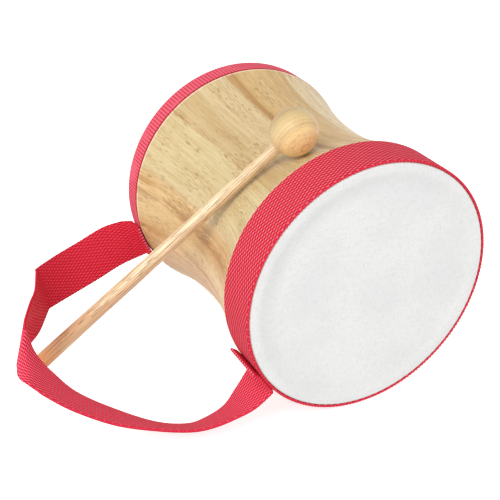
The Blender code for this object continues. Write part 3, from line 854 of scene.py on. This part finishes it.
# %% Beater places
stick_low, stick_high = (np.array(corner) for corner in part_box("beater_stick"))
ball_low, ball_high = (np.array(corner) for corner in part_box("beater_ball"))
BALL = (ball_low + ball_high) / 2
BALL_RADIUS = (ball_high - ball_low).max() / 2
BUTT = np.array([AXIS_X - 0.1501, MIDDLE_Y + 0.0263, 0.00342])
REACH = np.linalg.norm(BALL - BUTT)
ALONG = (BALL - BUTT) / REACH
LAYERS = (0.001, -0.929, -0.370)
LATE_WOOD = [(-8.4, 0.9, 0.35), (-5.4, 0.3, 0.35), (-4.7, 0.4, 0.5), (-1.2, 0.25, 0.25), (3.6, 0.25, 0.3),
             (5.1, 0.3, 0.55), (5.9, 0.25, 0.6), (7.2, 0.2, 0.3)]
print("ball radius", round(BALL_RADIUS, 4), "reach", round(REACH, 4))


# %% Beater materials
def stick_material():
    material, tree, shader = new_material("beater_stick_wood", roughness=0.45)
    chart = add(tree, "ShaderNodeUVMap", {"uv_map": "chart"}).outputs[0]
    grain = place(tree, wood_grain, Chart=chart, Pore_Share=0.13, Stretch=1.8)
    run = add(tree, "ShaderNodeSeparateXYZ", Vector=chart).outputs[0]
    colour = mix(tree, ease(tree, run, 20.0, 90.0), screen(222, 184, 138), screen(238, 211, 170))
    colour = mix(tree, ease(tree, grain["Streak"], 0.48, 0.62, 0.0, 0.5), colour,
                 screen(224, 188, 144))
    colour = mix(tree, ease(tree, grain["Streak"], 0.48, 0.38, 0.0, 0.8), colour,
                 screen(254, 234, 198))
    colour = mix(tree, ease(tree, grain["Fibre"], 0.54, 0.60, 0.0, 0.85), colour,
                 screen(182, 134, 88))
    colour = mix(tree, calc(tree, "MULTIPLY", grain["Pores"], 0.85), colour, screen(122, 82, 50))
    colour = mix(tree, ease(tree, run, 30.0, 8.0, 0.0, 0.85), colour, screen(218, 138, 70))
    dark = calc(tree, "MULTIPLY", ease(tree, run, 9.0, 1.0), ease(tree, grain["Cloud"], 0.4, 0.6))
    colour = mix(tree, calc(tree, "MULTIPLY", dark, 0.6), colour, screen(120, 74, 42))
    tree.links.new(colour, shader.inputs["Base Color"])
    bump = add(tree, "ShaderNodeBump", Height=grain["Height"], Strength=0.2, Distance=0.0002)
    tree.links.new(bump.outputs[0], shader.inputs["Normal"])
    return material


def ball_material():
    """Growth layers: noise read along one direction only, bent a little by slow noise. The base colour runs
    from darker on one side of the ball to lighter on the other, as painted shade and painted light.
    """
    material, tree, shader = new_material("beater_ball_wood", roughness=0.38)
    at = add(tree, "ShaderNodeTexCoord").outputs["Object"]
    at = add(tree, "ShaderNodeVectorMath", {"operation": "SUBTRACT"}, i0=at, i1=tuple(BALL)).outputs[0]
    bend = add(tree, "ShaderNodeTexNoise", Vector=at, Scale=45.0, Detail=1.0).outputs[0]
    layer = add(tree, "ShaderNodeVectorMath", {"operation": "DOT_PRODUCT"}, i0=at,
                i1=LAYERS).outputs["Value"]
    layer = calc(tree, "ADD", calc(tree, "MULTIPLY", layer, 1000.0), calc(tree, "MULTIPLY", bend, 2.4))
    layer = calc(tree, "SUBTRACT", layer, 1.2)
    broad = add(tree, "ShaderNodeTexNoise", {"noise_dimensions": "1D"}, W=layer, Scale=0.45,
                Detail=1.0).outputs[0]
    line = add(tree, "ShaderNodeTexNoise", {"noise_dimensions": "1D"}, W=layer, Scale=1.1,
               Detail=0.0).outputs[0]
    fine = add(tree, "ShaderNodeTexNoise", {"noise_dimensions": "1D"}, W=layer, Scale=3.2,
               Detail=1.0).outputs[0]
    grain = add(tree, "ShaderNodeVectorMath", {"operation": "DOT_PRODUCT"}, i0=at,
                i1=tuple(ALONG * 60)).outputs["Value"]
    cross = add(tree, "ShaderNodeVectorMath", {"operation": "SCALE"}, i0=at, Scale=900.0).outputs[0]
    cross = add(tree, "ShaderNodeVectorMath", {"operation": "SUBTRACT"}, i0=cross,
                i1=add(tree, "ShaderNodeVectorMath", {"operation": "SCALE"}, i0=tuple(ALONG),
                       Scale=calc(tree, "MULTIPLY", grain, 13.0)).outputs[0]).outputs[0]
    dash = add(tree, "ShaderNodeTexNoise", Vector=cross, Scale=1.6, Detail=1.0).outputs[0]
    # Painted shade and painted light: the base is darker on one side of the ball and lighter on the other,
    # across the layers.
    colour = mix(tree, ease(tree, layer, -11.0, 4.0), screen(168, 142, 92), screen(220, 194, 140))
    colour = mix(tree, ease(tree, layer, 3.0, 9.0), colour, screen(240, 208, 146))
    colour = mix(tree, ease(tree, broad, 0.4, 0.65, 0.0, 0.4), colour, screen(218, 182, 126))
    colour = mix(tree, ease(tree, line, 0.62, 0.69, 0.0, 0.25), colour, screen(180, 136, 84))
    for height, width, share in LATE_WOOD:
        away = calc(tree, "ABSOLUTE", calc(tree, "SUBTRACT", layer, height))
        colour = mix(tree, ease(tree, away, width * 1.3, 0.0, 0.0, share), colour, screen(160, 118, 70))
    near = calc(tree, "MULTIPLY", ease(tree, layer, 0.0, 8.0), ease(tree, fine, 0.46, 0.64))
    colour = mix(tree, calc(tree, "MULTIPLY", near, 0.4), colour, screen(204, 146, 92))
    colour = mix(tree, ease(tree, dash, 0.63, 0.70, 0.0, 0.45), colour, screen(170, 126, 76))
    tree.links.new(colour, shader.inputs["Base Color"])
    return material


stick_wood, ball_wood = stick_material(), ball_material()


# %% Make the beater
def frame_round(direction):
    """Two unit directions square to the given one and to each other."""
    first = np.cross(direction, [0, 0, 1])
    first /= np.linalg.norm(first)
    return first, np.cross(direction, first)


def turned_piece(name, centre_line, radius, chart_radius):
    """A turned solid: P(k, a) = line_k + r_k (cos(a) p + sin(a) q), closed at both poles."""
    p, q = frame_round(ALONG)
    turn = np.arange(64) * math.tau / 64
    spoke = np.cos(turn)[:, None] * p + np.sin(turn)[:, None] * q
    points = centre_line[:, None, :] + radius[:, None, None] * spoke[None]
    points = np.swapaxes(points, 0, 1)
    rows, cols = points.shape[:2]
    cells, tags = quads(rows, cols, True)
    mesh = bpy.data.meshes.new(name)
    mesh.from_pydata(points.reshape(-1, 3).tolist(), [], cells.tolist())
    run = np.linalg.norm(centre_line - centre_line[0], axis=1) * 1000
    girth = np.arange(rows + 1) * math.tau / rows * chart_radius * 1000
    chart = np.stack(np.broadcast_arrays(run, girth[:, None]), axis=-1)
    layer = mesh.uv_layers.new(name="chart")
    layer.data.foreach_set("uv", chart.reshape(-1, 2)[tags].astype(np.float32).ravel())
    obj = bpy.data.objects.new(name, mesh)
    bpy.context.collection.objects.link(obj)
    close(mesh, 40, 1e-7)
    return obj


def make_stick():
    """Radius falls evenly from butt to tip; the butt's edge is rounded and the tip ends in the ball."""
    butt, tip, end = 0.0044, 0.0029, REACH - 0.004
    corner = np.linspace(0, math.pi / 2, 8)
    s = np.concatenate([[0.0], 0.0011 * (1 - np.cos(corner)), np.linspace(0.004, end, 80), [end]])
    r = np.interp(s, [0, end], [butt, tip])
    r[:9] = np.concatenate([[0.0], butt - 0.0011 * (1 - np.sin(corner))])
    r[9:-1] += 0.00006 * np.sin(s[9:-1] * 95)
    r[-1] = 0.0
    return turned_piece("beater_stick_turned", BUTT + ALONG * s[:, None], r, butt * 0.8)


def make_ball():
    """A sphere, a hair flat at both poles as a turned ball is."""
    a = np.linspace(0, math.pi, 65)
    s = -np.cos(a) * BALL_RADIUS * 0.995
    return turned_piece("beater_ball_turned", BALL + ALONG * s[:, None], np.sin(a) * BALL_RADIUS,
                        BALL_RADIUS)


stick = dress(make_stick(), "beater", "beater_wood", stick_wood)
ball = dress(make_ball(), "beater", "beater_wood", ball_wood)
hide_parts("beater_stick")
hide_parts("beater_ball")

# %% [markdown]
# ## Floor and light
# The object stands on a wide pale floor, seen from above, so the floor is the whole background.
# It adds a little white of its own for the camera only, which keeps the soft shadow but lets the
# rest go to white. One large soft lamp from the upper left does the modelling, and a pale sky fills.


# %% Floor
def make_floor():
    mesh = bpy.data.meshes.new("floor")
    mesh.from_pydata([(-6, -6, 0), (6, -6, 0), (6, 6, 0), (-6, 6, 0)], [], [(0, 1, 2, 3)])
    obj = bpy.data.objects.new("floor", mesh)
    bpy.context.collection.objects.link(obj)
    material, tree, shader = new_material("floor_white", (0.80, 0.80, 0.80), 0.9)
    rays = add(tree, "ShaderNodeLightPath").outputs
    seen = calc(tree, "MAXIMUM", rays["Is Camera Ray"], rays["Is Glossy Ray"])
    tree.links.new(mix(tree, seen, (0, 0, 0), (0.72, 0.72, 0.72)), shader.inputs["Emission Color"])
    shader.inputs["Emission Strength"].default_value = 1.0
    mesh.materials.append(material)


make_floor()


# %% Lamps and sky
def add_lamp(name, place_at, aim, size, watts):
    data = bpy.data.lights.new(name, "AREA")
    data.shape = "DISK"
    data.size = size
    data.energy = watts
    lamp = bpy.data.objects.new(name, data)
    bpy.context.collection.objects.link(lamp)
    lamp.location = place_at
    aim_at = Vector(aim) - Vector(place_at)
    lamp.rotation_euler = aim_at.to_track_quat("-Z", "Y").to_euler()
    return lamp


add_lamp("key", (-0.72, -0.52, 1.10), (AXIS_X, MIDDLE_Y, 0.05), 0.9, 8.5)
add_lamp("left", (-1.2, 0.1, 0.5), (AXIS_X, MIDDLE_Y, 0.05), 1.2, 4)
add_lamp("right", (0.9, -1.1, 0.9), (AXIS_X, MIDDLE_Y, 0.07), 1.2, 4)
world = bpy.data.worlds.new("sky")
bpy.context.scene.world = world
world.use_nodes = True
backdrop = world.node_tree.nodes["Background"].inputs
backdrop["Color"].default_value = (1, 1, 1, 1)
sky_rays = add(world.node_tree, "ShaderNodeLightPath").outputs
sky_seen = calc(world.node_tree, "MAXIMUM", sky_rays["Is Camera Ray"], sky_rays["Is Glossy Ray"])
world.node_tree.links.new(calc(world.node_tree, "MAXIMUM", 0.63, sky_seen), backdrop["Strength"])
bpy.context.scene.view_settings.view_transform = "Standard"
